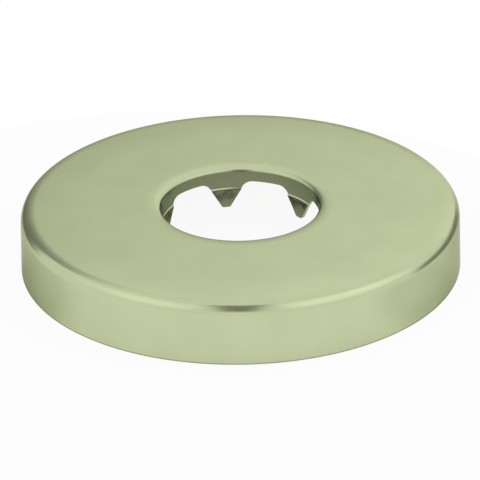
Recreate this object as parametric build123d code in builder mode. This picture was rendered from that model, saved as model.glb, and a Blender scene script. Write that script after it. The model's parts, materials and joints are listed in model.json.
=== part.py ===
"""Round push-on escutcheon for a half-inch tap pipe, pressed from one sheet.

Millimetres. +Z points away from the wall, the foot of the skirt lies on z = 0 and the
pipe runs along the Z axis. One of the six spring teeth stands on +Y.
"""

import os

from build123d import *

os.makedirs("parts", exist_ok=True)

# Sheet the whole piece is pressed from
sheet_thickness = 0.5

# Skirt, measured on the outside
foot_radius = 30.0
skirt_draft = 0.2
shoulder_rounding = 1.5

# Level face
face_height = 8.65

# Pipe, and the two circles of the collar that meet it
pipe_radius = 10.65
collar_clearance = 0.15
tooth_grip = 0.05
collar_radius = pipe_radius + collar_clearance
tooth_radius = pipe_radius - tooth_grip
mouth_rounding = 0.5

# Collar and teeth, measured down from the top of the face
root_depth = 1.95
crease_depth = 2.85
crease_drop = 0.25
tip_depth = 5.75

# Outline of one tooth, seen square on from the pipe
tooth_count = 6
tooth_bearing = 90.0
root_width = 5.5
tip_width = 1.1
root_rounding = 1.6
tip_rounding = 0.42

# Spare length of the tools that trim the sheet
trim = 2.0

shoulder_radius = foot_radius - skirt_draft
collar_back_radius = collar_radius + sheet_thickness
root_height = face_height - root_depth
crease_height = face_height - crease_depth
tip_height = face_height - tip_depth

with BuildPart() as tooth_form:
    # One tooth below a land that stands for the uncut collar above the roots
    with BuildSketch(Plane.YZ) as tooth_outline:
        with BuildLine():
            Polyline(
                (-root_width / 2, root_height),
                (-tip_width / 2, tip_height),
                (tip_width / 2, tip_height),
                (root_width / 2, root_height),
                close=True,
            )
        make_face()
        with Locations((0, root_height)):
            Rectangle(2 * collar_back_radius, 2 * trim, align=(Align.CENTER, Align.MIN))
        fillet(tooth_outline.vertices().group_by(Axis.Y)[0], tip_rounding)
        land_corners = tooth_outline.vertices().group_by(Axis.Y)[-2]
        fillet(land_corners.sort_by(Axis.X)[1:-1], root_rounding)
    extrude(amount=collar_back_radius + trim)

with BuildPart() as tooth_gaps:
    # Ring of metal around the lower collar, less the teeth that stay
    with BuildSketch(Plane.XY.offset(tip_height - trim)):
        Circle(collar_back_radius + trim)
        Circle(tooth_radius - trim, mode=Mode.SUBTRACT)
    extrude(amount=tip_depth + trim - root_depth + trim / 2)
    for bearing in PolarLocations(0, tooth_count, start_angle=tooth_bearing):
        with Locations(bearing):
            add(tooth_form.part, mode=Mode.SUBTRACT)

with BuildPart() as escutcheon:
    # Shown side of the sheet from below the foot to the tooth tips, then its thickness
    with BuildSketch(Plane.XZ) as section:
        with BuildLine():
            skirt_slope = skirt_draft / face_height
            Polyline(
                (foot_radius + trim * skirt_slope, -trim),
                (shoulder_radius, face_height),
                (collar_radius, face_height),
                (collar_radius, crease_height),
                (tooth_radius, crease_height - crease_drop),
                (tooth_radius, tip_height),
            )
            offset(amount=sheet_thickness, side=Side.LEFT, kind=Kind.INTERSECTION)
        make_face()
        shoulder_back = section.vertices().group_by(Axis.Y)[-2].sort_by(Axis.X)[-1]
        fillet(shoulder_back, shoulder_rounding - sheet_thickness)
        shoulder = section.vertices().group_by(Axis.Y)[-1].sort_by(Axis.X)[-1]
        fillet(shoulder, shoulder_rounding)
        mouth = section.vertices().group_by(Axis.Y)[-1].sort_by(Axis.X)[0]
        fillet(mouth, mouth_rounding)
        with Locations((foot_radius, 0)):
            Rectangle(4 * trim, 4 * trim, align=(Align.CENTER, Align.MAX), mode=Mode.SUBTRACT)
    revolve(axis=Axis.Z)
    # Trim the collar between the teeth
    add(tooth_gaps.part, mode=Mode.SUBTRACT)

escutcheon.part.label = "escutcheon"
export_step(escutcheon.part, "parts/escutcheon.step")
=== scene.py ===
"""Round push-on tap escutcheon in satin sage-green metal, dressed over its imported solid.

The whole piece is one sheet. Its shown side is a section carried round the pipe axis; the
section ends at the collar's root line between the teeth and runs on to the tip inside them.
"""

import json
import math

import bpy
import numpy as np
from mathutils import Matrix, Vector


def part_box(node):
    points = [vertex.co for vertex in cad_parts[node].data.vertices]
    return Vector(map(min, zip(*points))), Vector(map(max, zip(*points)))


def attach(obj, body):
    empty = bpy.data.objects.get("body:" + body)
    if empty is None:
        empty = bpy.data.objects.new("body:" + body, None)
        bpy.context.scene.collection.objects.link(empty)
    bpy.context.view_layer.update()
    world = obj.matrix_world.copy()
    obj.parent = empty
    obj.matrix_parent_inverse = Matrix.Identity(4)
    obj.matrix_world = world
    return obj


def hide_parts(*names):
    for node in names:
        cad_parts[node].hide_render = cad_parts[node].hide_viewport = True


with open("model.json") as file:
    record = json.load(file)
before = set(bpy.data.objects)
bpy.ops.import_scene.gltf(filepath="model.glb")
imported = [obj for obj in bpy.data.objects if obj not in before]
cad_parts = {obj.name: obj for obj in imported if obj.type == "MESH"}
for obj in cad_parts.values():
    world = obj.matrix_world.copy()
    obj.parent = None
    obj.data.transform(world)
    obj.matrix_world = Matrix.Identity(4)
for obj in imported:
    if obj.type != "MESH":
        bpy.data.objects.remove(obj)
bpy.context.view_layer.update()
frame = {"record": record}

MM = 0.001
NODE = "escutcheon"
MOUNTS = {mount["name"]: mount for mount in frame["record"]["mounts"]}

# Sheet and skirt
SHEET = 0.5 * MM
FOOT_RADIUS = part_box(NODE)[1][0]
SKIRT_TILT = 1.3

# Level face. Its edges are chains of arcs: their radii, and the tilt of the surface where each
# arc begins and ends, from 0 for an upright wall to 90 for the level face. From the skirt up, the
# shoulder has a roll, a tight soft line, a droop and a slight crown. From the collar up, the
# mouth has a tight turn, a flare and a wide flare
FACE_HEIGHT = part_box(NODE)[1][2]
SHOULDER_RADII = np.array([1.82, 0.12, 3.9, 220.0]) * MM
SHOULDER_TILTS = np.radians([SKIRT_TILT, 50.0, 68.0, 88.5, 90.0])
MOUTH_RADII = np.array([0.7, 3.0, 20.0]) * MM
MOUTH_TILTS = np.radians([23.0, 76.0, 87.0, 90.0])
SHARPEST_RADIUS = 0.02 * MM

# Collar and teeth
COLLAR_RADIUS = MOUNTS["pipe_bore"]["dims"]["r_mm"] * MM
TOOTH_RADIUS = MOUNTS["tooth_clamp"]["dims"]["r_mm"] * MM
TOOTH_COUNT = 6
TOOTH_BEARING = math.radians(90.0)
ROOT_HEIGHT = FACE_HEIGHT - 1.95 * MM
CREASE_HEIGHT = FACE_HEIGHT - 2.85 * MM
CREASE_DROP = 0.25 * MM
CREASE_BACK_DROP = 0.42 * MM
TIP_HEIGHT = FACE_HEIGHT - 5.75 * MM
ROOT_WIDTH = 5.5 * MM
TIP_WIDTH = 1.1 * MM
ROOT_ROUNDING = 1.6 * MM
TIP_ROUNDING = 0.42 * MM

# Flank of a tooth: half width gained per height, the direction it faces, how far it turns into
# each rounding, and the heights where it meets the two roundings
FLANK = 0.5 * (ROOT_WIDTH - TIP_WIDTH) / (ROOT_HEIGHT - TIP_HEIGHT)
FLANK_OUT = np.array([1.0, -FLANK]) / math.hypot(1.0, FLANK)
FLANK_TURN = math.pi / 2 - math.asin(-FLANK_OUT[1])
FLANK_TOP = ROOT_HEIGHT - ROOT_ROUNDING * (1.0 + FLANK_OUT[1])
FLANK_END = TIP_HEIGHT + TIP_ROUNDING * (1.0 + FLANK_OUT[1])

# Rows along each stretch of the section, columns across one tooth and across the gap beside it
SKIRT_ROWS = 13
ARC_ROWS = 12
FACE_ROWS = 29
COLLAR_ROWS = 8
ROOT_ROWS = 9
LEDGE_ROWS = 8
SHANK_ROWS = 14
TIP_ROWS = 8
TOOTH_COLUMNS = 16
GAP_COLUMNS = 14
SHARP_ANGLE = math.radians(50.0)

# Camera, read from the outline in the photograph
CAMERA_AZIMUTH = math.radians(-10.2)
CAMERA_ELEVATION = math.radians(27.05)
CAMERA_DISTANCE = 497.9 * MM
CAMERA_AIM = Vector((-0.08, 0.0, 2.99)) * MM
CAMERA_ROLL = math.radians(-0.947)
CAMERA_LENS = 272.7
CAMERA_SENSOR = 36.0
CAMERA_NEAREST = 10.0 * MM


def blend(low, high, value):
    """Smooth step: 0 at low, 1 at high and beyond, with level ends."""
    t = np.clip((value - low) / (high - low), 0.0, 1.0)
    return t * t * (3.0 - 2.0 * t)


def arc_chain(radii, tilts):
    """Arcs that follow on from one another up to the face, as places measured from their start.

    At tilt n an arc stands at its radius times (cos n, sin n) from its own centre, so each step
    is the radius times the change in (cos n, sin n), and the steps are added up.
    """
    tilt = tilts[:-1, None] + np.diff(tilts)[:, None] * np.linspace(0.0, 1.0, ARC_ROWS + 1)
    circle = radii[:, None, None] * np.stack([np.cos(tilt), np.sin(tilt)], axis=-1)
    steps = np.diff(circle, axis=1).reshape(-1, 2)
    return np.concatenate([np.zeros((1, 2)), np.cumsum(steps, axis=0)])


def cap_section(inset):
    """Section of one side of the sheet from the foot to the root line, set in from the shown side.

    Straight skirt, chain of shoulder arcs, level face, chain of mouth arcs, straight collar. The
    arcs of a side that is set in are tighter by as much. Rows on the skirt and the collar draw
    together towards the arcs, by the square of an even share.
    """
    shoulder = arc_chain(np.maximum(SHOULDER_RADII - inset, SHARPEST_RADIUS), SHOULDER_TILTS)
    mouth = arc_chain(np.maximum(MOUTH_RADII - inset, SHARPEST_RADIUS), MOUTH_TILTS) * (-1.0, 1.0)
    foot = np.array([FOOT_RADIUS - inset, 0.0])
    root = np.array([COLLAR_RADIUS + inset, ROOT_HEIGHT])
    shoulder_foot = FACE_HEIGHT - inset - shoulder[-1, 1]
    shoulder += (foot[0] - shoulder_foot * math.tan(SHOULDER_TILTS[0]), shoulder_foot)
    mouth += (root[0], FACE_HEIGHT - inset - mouth[-1, 1])
    mouth = mouth[::-1]
    up_skirt = 1.0 - np.linspace(1.0, 0.0, SKIRT_ROWS + 1)[:-1, None] ** 2
    skirt = foot + up_skirt * (shoulder[0] - foot)
    over_face = np.linspace(0.0, 1.0, FACE_ROWS + 1)[1:-1, None]
    face = shoulder[-1] + over_face * (mouth[0] - shoulder[-1])
    down_collar = np.linspace(0.0, 1.0, COLLAR_ROWS + 1)[1:, None] ** 2
    collar = mouth[-1] + down_collar * (root - mouth[-1])
    return np.concatenate([skirt, shoulder, face, mouth, collar])


def tooth_heights():
    """Heights of the rows down a tooth, close together on the root, the crease and the tip.

    On the two roundings the rows follow equal steps of arc, so the outline stays round.
    """
    root = ROOT_HEIGHT - ROOT_ROUNDING * (1.0 - np.cos(np.linspace(0.0, FLANK_TURN, ROOT_ROWS)))
    ledge = np.linspace(CREASE_HEIGHT, CREASE_HEIGHT - CREASE_DROP, LEDGE_ROWS)
    above_ledge = 0.5 * (root[-1:] + ledge[:1])
    shank = np.linspace(ledge[-1], FLANK_END, SHANK_ROWS)[1:]
    tip = TIP_HEIGHT + TIP_ROUNDING * (1.0 - np.cos(np.linspace(FLANK_TURN, 0.0, TIP_ROWS)[1:]))
    return np.concatenate([root, above_ledge, ledge, shank, tip])


def tooth_half_width(height):
    """Half the tooth's width at a height: a straight flank with an arc at the root and one at the tip.

    An arc's half width is that of its centre, less at the root and plus at the tip the square
    root of (rounding squared less the squared height from the centre).
    """
    flank = 0.5 * TIP_WIDTH + FLANK * (height - TIP_HEIGHT)
    root_side = 0.5 * TIP_WIDTH + FLANK * (FLANK_TOP - TIP_HEIGHT) + ROOT_ROUNDING * FLANK_OUT[0]
    root_rise = np.clip(height - ROOT_HEIGHT + ROOT_ROUNDING, -ROOT_ROUNDING, ROOT_ROUNDING)
    root = root_side - np.sqrt(ROOT_ROUNDING**2 - root_rise**2)
    tip_side = 0.5 * TIP_WIDTH + FLANK * (FLANK_END - TIP_HEIGHT) - TIP_ROUNDING * FLANK_OUT[0]
    tip_rise = np.clip(height - TIP_HEIGHT - TIP_ROUNDING, -TIP_ROUNDING, TIP_ROUNDING)
    tip = tip_side + np.sqrt(TIP_ROUNDING**2 - tip_rise**2)
    return np.where(height > FLANK_TOP, root, np.where(height < FLANK_END, tip, flank))


def sheet_sections():
    """Shown and back sections of the sheet, row by row, and the number of rows above the teeth.

    The back keeps the sheet's thickness. Down the teeth both sides step inwards by a smooth
    step over the crease.
    """
    shown = cap_section(0.0)
    back = cap_section(SHEET)
    heights = tooth_heights()[1:]
    step = COLLAR_RADIUS - TOOTH_RADIUS
    shown_step = blend(CREASE_HEIGHT, CREASE_HEIGHT - CREASE_DROP, heights)
    back_step = blend(CREASE_HEIGHT, CREASE_HEIGHT - CREASE_BACK_DROP, heights)
    shown_tooth = np.stack([COLLAR_RADIUS - step * shown_step, heights], axis=1)
    back_tooth = np.stack([COLLAR_RADIUS + SHEET - step * back_step, heights], axis=1)
    return np.concatenate([shown, shown_tooth]), np.concatenate([back, back_tooth]), len(shown)


def carry_round(section, cap_rows):
    """Carries a section round the pipe axis: one row per section point, one column per bearing.

    Inside a tooth the columns close in as the tooth narrows, by arcsin(half width / radius);
    in a gap they share what is left of the pitch.
    """
    radius = section[:, 0]
    half_width = tooth_half_width(np.minimum(section[:, 1], ROOT_HEIGHT))
    half_width[:cap_rows] = tooth_half_width(np.array([ROOT_HEIGHT]))[0]
    base = np.where(np.arange(len(radius)) < cap_rows, COLLAR_RADIUS, radius)
    half_angle = np.arcsin(half_width / base)[:, None]
    pitch = 2.0 * math.pi / TOOTH_COUNT
    across_tooth = np.linspace(-1.0, 1.0, TOOTH_COLUMNS + 1)[None, :] * half_angle
    across_gap = np.linspace(0.0, 1.0, GAP_COLUMNS + 1)[None, 1:-1]
    gap = half_angle + across_gap * (pitch - 2.0 * half_angle)
    sector = np.concatenate([across_tooth, gap], axis=1)
    bearing = TOOTH_BEARING + np.arange(TOOTH_COUNT)[:, None, None] * pitch + sector[None]
    bearing = np.concatenate(list(bearing), axis=1)
    height = np.broadcast_to(section[:, 1:2], bearing.shape)
    ring = radius[:, None]
    return np.stack([ring * np.cos(bearing), ring * np.sin(bearing), height], axis=-1)


def pressing_mesh():
    """The closed sheet: shown grid, back grid and the cut edges that join them.

    Cut edges run round the foot, across each gap at the root line, down both flanks of each
    tooth and across its tip. The collar mark is 0 up to the mouth's tight turn, and from there on
    the depth below the face as a share of the tip's. The hidden mark is 1 on the sheet's back.
    """
    shown, back, cap_rows = sheet_sections()
    shown_points = carry_round(shown, cap_rows)
    back_points = carry_round(back, cap_rows)
    rows, columns = shown_points.shape[:2]
    shown_number = np.arange(rows * columns).reshape(rows, columns)
    back_number = shown_number + rows * columns
    sector = TOOTH_COLUMNS + GAP_COLUMNS
    column = np.arange(columns)
    following = (column + 1) % columns
    tooth_columns = column[column % sector < TOOTH_COLUMNS]
    gap_columns = column[column % sector >= TOOTH_COLUMNS]
    first_columns = np.arange(TOOTH_COUNT) * sector
    root = cap_rows - 1
    above_root = np.arange(root)
    below_root = np.arange(root, rows - 1)

    def squares(numbers, row, column_set):
        """Squares between neighbouring rows and columns, wound to face out of the shown side."""
        r = row[:, None]
        c = column_set[None, :]
        n = following[column_set][None, :]
        corners = [numbers[r, c], numbers[r, n], numbers[r + 1, n], numbers[r + 1, c]]
        return np.stack(corners, axis=-1).reshape(-1, 4)

    def skin(numbers):
        """Squares of one side of the sheet: all round above the root line, then down the teeth."""
        cap = squares(numbers, above_root, column)
        return np.concatenate([cap, squares(numbers, below_root, tooth_columns)])

    def edge(first, second, row, column_set):
        """Squares between the two sides of the sheet along one row."""
        n = following[column_set]
        corners = [first[row, column_set], first[row, n], second[row, n], second[row, column_set]]
        return np.stack(corners, axis=-1)

    def flank(side_column, order):
        """Squares between the two sides of the sheet down one flank of every tooth."""
        r = below_root[:, None]
        c = side_column[None, :]
        corners = [shown_number[r, c], shown_number[r + 1, c], back_number[r + 1, c], back_number[r, c]]
        return np.stack(corners, axis=-1).reshape(-1, 4)[:, ::order]

    shown_faces = skin(shown_number)
    back_faces = skin(back_number)[:, ::-1]
    cut_faces = np.concatenate(
        [
            edge(back_number, shown_number, 0, column),
            edge(shown_number, back_number, root, gap_columns),
            edge(shown_number, back_number, rows - 1, tooth_columns),
            flank(first_columns, 1),
            flank(first_columns + TOOTH_COLUMNS, -1),
        ]
    )
    faces = np.concatenate([shown_faces, back_faces, cut_faces])
    kinds = np.repeat([0, 0, 1], [len(shown_faces), len(back_faces), len(cut_faces)])
    points = np.concatenate([shown_points.reshape(-1, 3), back_points.reshape(-1, 3)])

    depth = (FACE_HEIGHT - shown[:, 1]) / (FACE_HEIGHT - TIP_HEIGHT)
    past_mouth = np.arange(rows) >= cap_rows - COLLAR_ROWS - ARC_ROWS
    collar = np.tile(np.repeat(depth * past_mouth, columns), 2)
    hidden = np.repeat([0.0, 1.0], rows * columns)

    # Points of the grids that lie in the gaps below the root line belong to no face
    used = np.unique(faces)
    renumber = np.zeros(len(points), dtype=np.int64)
    renumber[used] = np.arange(len(used))
    return {
        "points": points[used],
        "faces": renumber[faces],
        "kinds": kinds,
        "collar": collar[used],
        "hidden": hidden[used],
    }


def make_pressing():
    """Puts the pressing into Blender: mesh, kinds of face and the marks that the finish reads."""
    data = pressing_mesh()
    mesh = bpy.data.meshes.new("pressing")
    mesh.from_pydata(data["points"], [], data["faces"])
    mesh.polygons.foreach_set("material_index", data["kinds"].astype(np.int32))
    mesh.shade_smooth()
    for name in ("collar", "hidden"):
        attribute = mesh.attributes.new(name, "FLOAT", "POINT")
        attribute.data.foreach_set("value", data[name].astype(np.float32))
    mesh.set_sharp_from_angle(angle=SHARP_ANGLE)
    mesh.update()
    piece = bpy.data.objects.new("pressing", mesh)
    bpy.context.scene.collection.objects.link(piece)
    return piece


class Graph:
    """A node tree, with short ways to add the nodes that the finishes, floor and tent share."""

    def __init__(self, tree):
        self.nodes = tree.nodes
        self.links = tree.links

    def add(self, kind, **settings):
        """New node with its own settings."""
        node = self.nodes.new(kind)
        for name, value in settings.items():
            setattr(node, name, value)
        return node

    def feed(self, socket, value):
        """Links a result to an input, or sets a plain number or colour on it."""
        if isinstance(value, bpy.types.NodeSocket):
            self.links.new(value, socket)
        else:
            socket.default_value = value

    def calc(self, operation, *values):
        """One Math node over results or plain numbers."""
        node = self.add("ShaderNodeMath", operation=operation)
        for socket, value in zip(node.inputs, values):
            self.feed(socket, value)
        return node.outputs[0]

    def remap(self, value, source, target=(0.0, 1.0), kind="LINEAR"):
        """A value carried from one range to another and held at its ends."""
        node = self.add("ShaderNodeMapRange", interpolation_type=kind)
        self.feed(node.inputs["Value"], value)
        for name, end in zip(("From Min", "From Max", "To Min", "To Max"), (*source, *target)):
            node.inputs[name].default_value = end
        return node.outputs["Result"]

    def fade(self, value, low, high):
        """Smooth step of a value: 0 at low, 1 at high."""
        return self.remap(value, (low, high), kind="SMOOTHSTEP")

    def mix(self, factor, first, second, blend_type="MIX"):
        """Two colours mixed, each a result or a plain colour."""
        node = self.add("ShaderNodeMix", data_type="RGBA", blend_type=blend_type)
        for value, socket in ((factor, node.inputs[0]), (first, node.inputs[6]), (second, node.inputs[7])):
            self.feed(socket, value)
        return node.outputs[2]

    def mark(self, name):
        """One of the mesh's own marks."""
        return self.add("ShaderNodeAttribute", attribute_name=name).outputs["Fac"]

    def place(self):
        """Place on the object."""
        return self.add("ShaderNodeTexCoord").outputs["Object"]


# Satin grain: scale, detail and roughness of the noise for mottle and blotches, and the same for
# the fine grain, whose scale each finish sets
MOTTLE_NOISE = (140.0, 4.0, 0.5)
BLOTCH_NOISE = (900.0, 2.0, 0.5)
FINE_DETAIL = 3.0
FINE_ROUGHNESS = 0.6
GRAIN_SOCKETS = (
    ("Vector", "NodeSocketVector", "INPUT"),
    ("Grain Scale", "NodeSocketFloat", "INPUT"),
    ("Height", "NodeSocketFloat", "OUTPUT"),
    ("Tone", "NodeSocketFloat", "OUTPUT"),
    ("Blotch", "NodeSocketFloat", "OUTPUT"),
)


def satin_grain_group():
    """Satin grain in three sizes of noise: fine for height, wide for tone, middling for blotches."""
    group = bpy.data.node_groups.new("satin_grain", "ShaderNodeTree")
    for name, kind, side in GRAIN_SOCKETS:
        group.interface.new_socket(name=name, socket_type=kind, in_out=side)
    graph = Graph(group)
    start = graph.add("NodeGroupInput")
    end = graph.add("NodeGroupOutput")
    fine_noise = (start.outputs["Grain Scale"], FINE_DETAIL, FINE_ROUGHNESS)
    for name, settings in (("Height", fine_noise), ("Tone", MOTTLE_NOISE), ("Blotch", BLOTCH_NOISE)):
        noise = graph.add("ShaderNodeTexNoise")
        graph.feed(noise.inputs["Vector"], start.outputs["Vector"])
        for socket, value in zip(("Scale", "Detail", "Roughness"), settings):
            graph.feed(noise.inputs[socket], value)
        graph.feed(end.inputs[name], noise.outputs["Fac"])
    return group


# Colours of the metal, and tints that multiply them. The collar and tooth tints are painted shade, the
# foot tint a painted contact shadow and the ledge colour a painted highlight
SAGE_LIGHT = (0.618, 0.676, 0.422, 1.0)
SAGE_DEEP = (0.592, 0.649, 0.404, 1.0)
EDGE_TINT = (0.59, 0.62, 0.51, 1.0)
# Painted shade down the collar
COLLAR_SHADE_TINT = (0.41, 0.41, 0.39, 1.0)
# Painted shade on the teeth below the crease
TOOTH_SHADE_TINT = (0.28, 0.28, 0.27, 1.0)
# Lighter colour for the ledge at the crease, a painted highlight
LEDGE_HIGHLIGHT = (0.66, 0.70, 0.50, 1.0)
BARE_METAL = (0.44, 0.47, 0.34, 1.0)
UNDERSIDE_TINT = (0.80, 0.80, 0.82, 1.0)
# Painted contact shadow along the foot
FOOT_SHADOW_TINT = (0.50, 0.50, 0.48, 1.0)

# Grain, roughness and bump of the two finishes. The bump is its strength and its height, and the
# usual range of the noise is spread over the range of roughness
NOISE_RANGE = (0.3, 0.7)
SATIN_GRAIN = 5200.0
SATIN_ROUGHNESS = (0.20, 0.23)
SATIN_BUMP = (0.02, 0.004 * MM)
SHEARED_GRAIN = 9000.0
SHEARED_ROUGHNESS = (0.32, 0.46)
SHEARED_BUMP = (0.3, 0.02 * MM)
UNDERSIDE_ROUGHER = 0.12
MOTTLE_RANGE = (0.35, 0.65)
BLOTCH_RANGE = (0.35, 0.6)
BLOTCH_STRENGTH = (0.35, 1.0)

# Painted contact shadow, a dark line along the foot: full up to the first height, gone at the second
FOOT_SHADOW_LINE = (0.066 * MM, 0.22 * MM)

# Places down the collar, as shares of the depth from the face to the tooth tips
COLLAR_DEPTH = FACE_HEIGHT - TIP_HEIGHT
# Where the painted shade down the collar begins
COLLAR_SHADE_START = (0.04, 0.09)
CREASE_AT = (FACE_HEIGHT - CREASE_HEIGHT) / COLLAR_DEPTH
LEDGE_AT = (FACE_HEIGHT - CREASE_HEIGHT + CREASE_DROP) / COLLAR_DEPTH
LEDGE_SOFTNESS = 0.012
# Softness and end of the painted shade on the teeth
TOOTH_SHADE_SOFTNESS = 0.02
TOOTH_SHADE_END = (1.0, 0.62)


def grained_metal(name, grain, scale, roughness, bump_values):
    """Metal with the satin grain on its roughness and its bump, and no colour yet.

    Returns the material, its graph and shader, the grain's results and the roughness.
    """
    material = bpy.data.materials.new(name)
    material.use_nodes = True
    graph = Graph(material.node_tree)
    shader = graph.nodes["Principled BSDF"]
    shader.inputs["Metallic"].default_value = 1.0
    satin = graph.add("ShaderNodeGroup", node_tree=grain)
    satin.inputs["Grain Scale"].default_value = scale
    graph.feed(satin.inputs["Vector"], graph.place())
    rough = graph.remap(satin.outputs["Height"], NOISE_RANGE, roughness)
    graph.feed(shader.inputs["Roughness"], rough)
    bump = graph.add("ShaderNodeBump")
    for socket, value in zip(("Strength", "Distance"), bump_values):
        bump.inputs[socket].default_value = value
    graph.feed(bump.inputs["Height"], satin.outputs["Height"])
    graph.feed(shader.inputs["Normal"], bump.outputs["Normal"])
    return material, graph, shader, satin.outputs, rough


def satin_sage_finish(grain):
    """Satin sage-green metal: faint mottle, fine grain, painted shade on the collar and teeth, a painted
    highlight on the crease ledge and a painted shadow along the foot.
    """
    material, graph, shader, satin, rough = grained_metal(
        "satin_sage_finish", grain, SATIN_GRAIN, SATIN_ROUGHNESS, SATIN_BUMP
    )
    shader.inputs["Specular Tint"].default_value = EDGE_TINT
    colour = graph.mix(graph.remap(satin["Tone"], MOTTLE_RANGE), SAGE_DEEP, SAGE_LIGHT)

    # Back of the sheet
    hidden = graph.mark("hidden")
    colour = graph.mix(hidden, colour, UNDERSIDE_TINT, "MULTIPLY")
    rough = graph.calc("MULTIPLY_ADD", hidden, UNDERSIDE_ROUGHER, rough)
    graph.feed(shader.inputs["Roughness"], rough)

    # Painted shade down the collar, blotchy painted shade below the crease, and a painted highlight on the
    # ledge
    depth = graph.mark("collar")
    # Painted shade darkens the collar
    colour = graph.mix(graph.fade(depth, *COLLAR_SHADE_START), colour, COLLAR_SHADE_TINT, "MULTIPLY")
    # Painted shade in blotches on the teeth below the crease, fading out towards the tips
    below_crease = graph.fade(depth, LEDGE_AT - TOOTH_SHADE_SOFTNESS, LEDGE_AT + TOOTH_SHADE_SOFTNESS)
    tooth_shade = graph.calc("MULTIPLY", below_crease, graph.fade(depth, *TOOTH_SHADE_END))
    tooth_shade = graph.calc("MULTIPLY", tooth_shade, graph.remap(satin["Blotch"], BLOTCH_RANGE, BLOTCH_STRENGTH))
    colour = graph.mix(tooth_shade, colour, TOOTH_SHADE_TINT, "MULTIPLY")
    # Painted highlight: lighter colour along the ledge at the crease
    ledge_start = graph.fade(depth, CREASE_AT, CREASE_AT + LEDGE_SOFTNESS)
    ledge_end = graph.fade(depth, LEDGE_AT - LEDGE_SOFTNESS, LEDGE_AT - 2.0 * LEDGE_SOFTNESS)
    colour = graph.mix(graph.calc("MULTIPLY", ledge_start, ledge_end), colour, LEDGE_HIGHLIGHT)

    # Painted contact shadow along the foot
    parts = graph.add("ShaderNodeSeparateXYZ")
    graph.feed(parts.inputs["Vector"], graph.place())
    foot_shadow = graph.fade(parts.outputs["Z"], *FOOT_SHADOW_LINE[::-1])
    colour = graph.mix(foot_shadow, colour, FOOT_SHADOW_TINT, "MULTIPLY")
    graph.feed(shader.inputs["Base Color"], colour)
    return material


def sheared_edge_finish(grain):
    """Sheared edge of the sheet: bare metal, rougher, with a closer grain and a stronger bump."""
    material, graph, shader, satin, _ = grained_metal(
        "sheared_edge_finish", grain, SHEARED_GRAIN, SHEARED_ROUGHNESS, SHEARED_BUMP
    )
    graph.feed(shader.inputs["Base Color"], graph.mix(satin["Tone"], BARE_METAL, SAGE_LIGHT))
    return material


# Floor. Its rim passes close behind the skirt and to its right, so the metal there mirrors the
# tent's openings below the horizon as well
FLOOR_RADIUS = 64.6 * MM
FLOOR_CENTRE = np.array([-12.6, -13.6, 0.0]) * MM
FLOOR_CORNERS = 96
FLOOR_COLOUR = (0.94, 0.94, 0.94, 1.0)
FLOOR_ROUGHNESS = 0.9

# Share of plain white in the floor as the camera sees it and as metal mirrors it. Two soft shades
# beside the skirt take the second away: centre, radius of the full shade and radius where it ends
FLOOR_WHITENING = 0.92
MIRRORED_WHITENING = 0.52
SHADES = (
    (Vector((30.0, -22.5, 0.0)) * MM, 6.0 * MM, 15.0 * MM),
    (Vector((-31.0, -3.0, 0.0)) * MM, 5.0 * MM, 15.0 * MM),
)


def make_floor():
    """Round pale floor, level with the foot of the skirt: one flat disc, its rim a circle."""
    around = np.linspace(0.0, 2.0 * math.pi, FLOOR_CORNERS, endpoint=False)
    circle = np.stack([np.cos(around), np.sin(around), np.zeros(FLOOR_CORNERS)], axis=1)
    mesh = bpy.data.meshes.new("floor")
    mesh.from_pydata(FLOOR_CENTRE + FLOOR_RADIUS * circle, [], [range(FLOOR_CORNERS)])
    floor = bpy.data.objects.new("floor", mesh)
    bpy.context.scene.collection.objects.link(floor)

    material = bpy.data.materials.new("pale_floor")
    material.use_nodes = True
    graph = Graph(material.node_tree)
    shader = graph.nodes["Principled BSDF"]
    shader.inputs["Base Color"].default_value = FLOOR_COLOUR
    shader.inputs["Roughness"].default_value = FLOOR_ROUGHNESS
    shader.inputs["Specular IOR Level"].default_value = 0.0
    white = graph.add("ShaderNodeEmission")
    ray = graph.add("ShaderNodeLightPath").outputs
    mirrored = graph.calc("MAXIMUM", ray["Is Glossy Ray"], ray["Is Transmission Ray"])
    place = graph.place()
    for centre, inner, outer in SHADES:
        apart = graph.add("ShaderNodeVectorMath", operation="DISTANCE")
        graph.feed(apart.inputs[0], place)
        graph.feed(apart.inputs[1], centre)
        mirrored = graph.calc("MULTIPLY", mirrored, graph.fade(apart.outputs["Value"], inner, outer))
    mirrored = graph.calc("MULTIPLY", mirrored, MIRRORED_WHITENING)
    whitened = graph.add("ShaderNodeMixShader")
    whitening = graph.calc("MULTIPLY_ADD", ray["Is Camera Ray"], FLOOR_WHITENING, mirrored)
    graph.feed(whitened.inputs["Fac"], whitening)
    graph.feed(whitened.inputs[1], shader.outputs["BSDF"])
    graph.feed(whitened.inputs[2], white.outputs["Emission"])
    graph.feed(graph.nodes["Material Output"].inputs["Surface"], whitened.outputs["Shader"])
    mesh.materials.append(material)
    return floor


# Light tent. Bearings are degrees from straight behind the object, positive to the right as the
# camera sees it, and heights are degrees above the floor. A window is its low end, the fade below
# it, its high end and the fade above it
TENT_COLOUR = (1.0, 1.0, 1.0, 1.0)
TENT_DIMMING = 0.13
DIM_BEARINGS = (15.0, 65.0)
DIM_HEIGHTS = (26.0, 46.0)

# Brighter panels at the front corners: bearings, and the light that each adds
PANEL_HEIGHTS = (32.0, 26.0, 46.0, 26.0)
PANELS = (
    ((95.0, 25.0, 150.0, 10.0), 0.25),
    ((-150.0, 10.0, -115.0, 35.0), 0.19),
)

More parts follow.
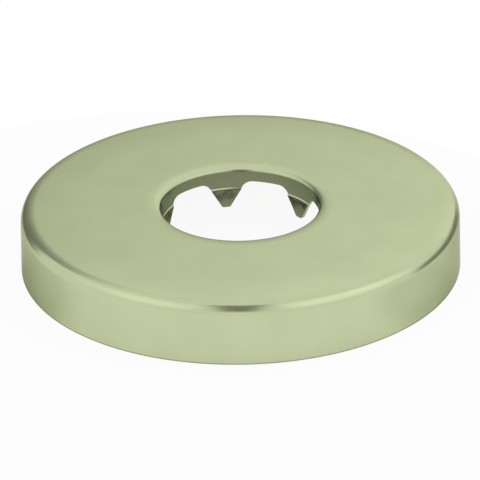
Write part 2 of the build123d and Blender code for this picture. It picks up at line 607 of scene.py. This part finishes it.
# Darker openings: bearings, heights, and the share of the light that each takes away. The top of
# the back opening slopes down to the right: height plus slope times bearing fades over its slant
BACK_OPENING = ((-45.0, 15.0, 3.0, 12.0), (-30.0, 10.0, 31.0, 8.0), 0.36)
BACK_SLOPE = 0.8
BACK_SLANT = (29.5, 21.0)
LEFT_OPENING = ((-50.0, 10.0, -24.0, 19.0), (-30.0, 10.0, 42.0, 8.0), 0.6)
RIGHT_OPENING = ((35.0, 10.0, 78.0, 8.0), (-30.0, 10.0, 4.0, 10.0), 0.7)

# Upright slit that the camera looks through, on a tent of radius 1: how far it stands to the left,
# where its sides fade, where it fades towards the front, its heights, and what it takes away
SLIT_LEFT = 0.02
SLIT_SIDES = (0.165, 0.145)
SLIT_FRONT = (-0.2, -0.45)
SLIT_HEIGHTS = (10.0, 26.0)
SLIT_DEPTH = 0.8


def light_tent():
    """White light tent, a little dimmer overhead and away from the back, with panels and openings.

    The camera itself sees plain white. Each opening multiplies the light by 1 less its share
    times a window over bearing and height.
    """
    world = bpy.data.worlds.new("light_tent")
    bpy.context.scene.world = world
    world.use_nodes = True
    graph = Graph(world.node_tree)
    turned = graph.add("ShaderNodeVectorRotate", rotation_type="Z_AXIS")
    turned.inputs["Angle"].default_value = -CAMERA_AZIMUTH
    graph.feed(turned.inputs["Vector"], graph.add("ShaderNodeTexCoord").outputs["Generated"])
    parts = graph.add("ShaderNodeSeparateXYZ")
    graph.feed(parts.inputs["Vector"], turned.outputs["Vector"])
    x, y, z = parts.outputs
    bearing = graph.calc("DEGREES", graph.calc("ARCTAN2", x, y))
    height = graph.calc("DEGREES", graph.calc("ARCSINE", z))

    def window(value, low, low_fade, high, high_fade):
        """1 between low and high, fading outside them."""
        rise = graph.fade(value, low - low_fade, low)
        return graph.calc("MULTIPLY", rise, graph.fade(value, high + high_fade, high))

    def left_over(inside, share):
        """What an opening leaves of the light: 1 outside it, 1 less its share inside."""
        return graph.calc("SUBTRACT", 1.0, graph.calc("MULTIPLY", inside, share))

    def opening(bearings, heights):
        """1 inside an opening's bearings and heights."""
        return graph.calc("MULTIPLY", window(bearing, *bearings), window(height, *heights))

    aside = graph.fade(graph.calc("ABSOLUTE", bearing), *DIM_BEARINGS)
    dimmer = graph.calc("MAXIMUM", aside, graph.fade(height, *DIM_HEIGHTS))
    level = graph.calc("MULTIPLY_ADD", dimmer, -TENT_DIMMING, 1.0)
    for bearings, gain in PANELS:
        level = graph.calc("MULTIPLY_ADD", opening(bearings, PANEL_HEIGHTS), gain, level)

    slant = graph.calc("MULTIPLY_ADD", bearing, BACK_SLOPE, height)
    back = graph.calc("MULTIPLY", graph.fade(slant, *BACK_SLANT), opening(*BACK_OPENING[:2]))
    from_slit = graph.calc("ABSOLUTE", graph.calc("ADD", x, SLIT_LEFT))
    slit = graph.calc("MULTIPLY", graph.fade(from_slit, *SLIT_SIDES), graph.fade(y, *SLIT_FRONT))
    slit = graph.calc("MULTIPLY", slit, graph.fade(height, *SLIT_HEIGHTS))
    left = opening(*LEFT_OPENING[:2])
    right = opening(*RIGHT_OPENING[:2])
    shares = (BACK_OPENING[2], LEFT_OPENING[2], RIGHT_OPENING[2], SLIT_DEPTH)
    for inside, share in zip((back, left, right, slit), shares):
        level = graph.calc("MULTIPLY", level, left_over(inside, share))

    ray = graph.add("ShaderNodeLightPath")
    dimmed = graph.calc("SUBTRACT", 1.0, level)
    level = graph.calc("MULTIPLY_ADD", ray.outputs["Is Camera Ray"], dimmed, level)
    background = graph.nodes["Background"]
    background.inputs["Color"].default_value = TENT_COLOUR
    graph.feed(background.inputs["Strength"], level)
    return world


def make_camera():
    """Camera at the photograph's viewing angle, turned by its small roll."""
    level_reach = math.cos(CAMERA_ELEVATION)
    direction = Vector(
        (
            math.sin(CAMERA_AZIMUTH) * level_reach,
            -math.cos(CAMERA_AZIMUTH) * level_reach,
            math.sin(CAMERA_ELEVATION),
        )
    )
    place = direction * CAMERA_DISTANCE
    camera_data = bpy.data.cameras.new("camera")
    camera_data.lens = CAMERA_LENS
    camera_data.sensor_width = CAMERA_SENSOR
    camera_data.clip_start = CAMERA_NEAREST
    camera = bpy.data.objects.new("camera", camera_data)
    bpy.context.scene.collection.objects.link(camera)
    aim = (CAMERA_AIM - place).to_track_quat("-Z", "Y").to_matrix().to_4x4()
    camera.matrix_world = Matrix.Translation(place) @ aim @ Matrix.Rotation(CAMERA_ROLL, 4, "Z")
    bpy.context.scene.camera = camera
    return camera


pressing = make_pressing()
grain_group = satin_grain_group()
pressing.data.materials.append(satin_sage_finish(grain_group))
pressing.data.materials.append(sheared_edge_finish(grain_group))
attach(pressing, "root")
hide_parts(NODE)

make_floor()
light_tent()
make_camera()
bpy.context.scene.view_settings.view_transform = "Standard"
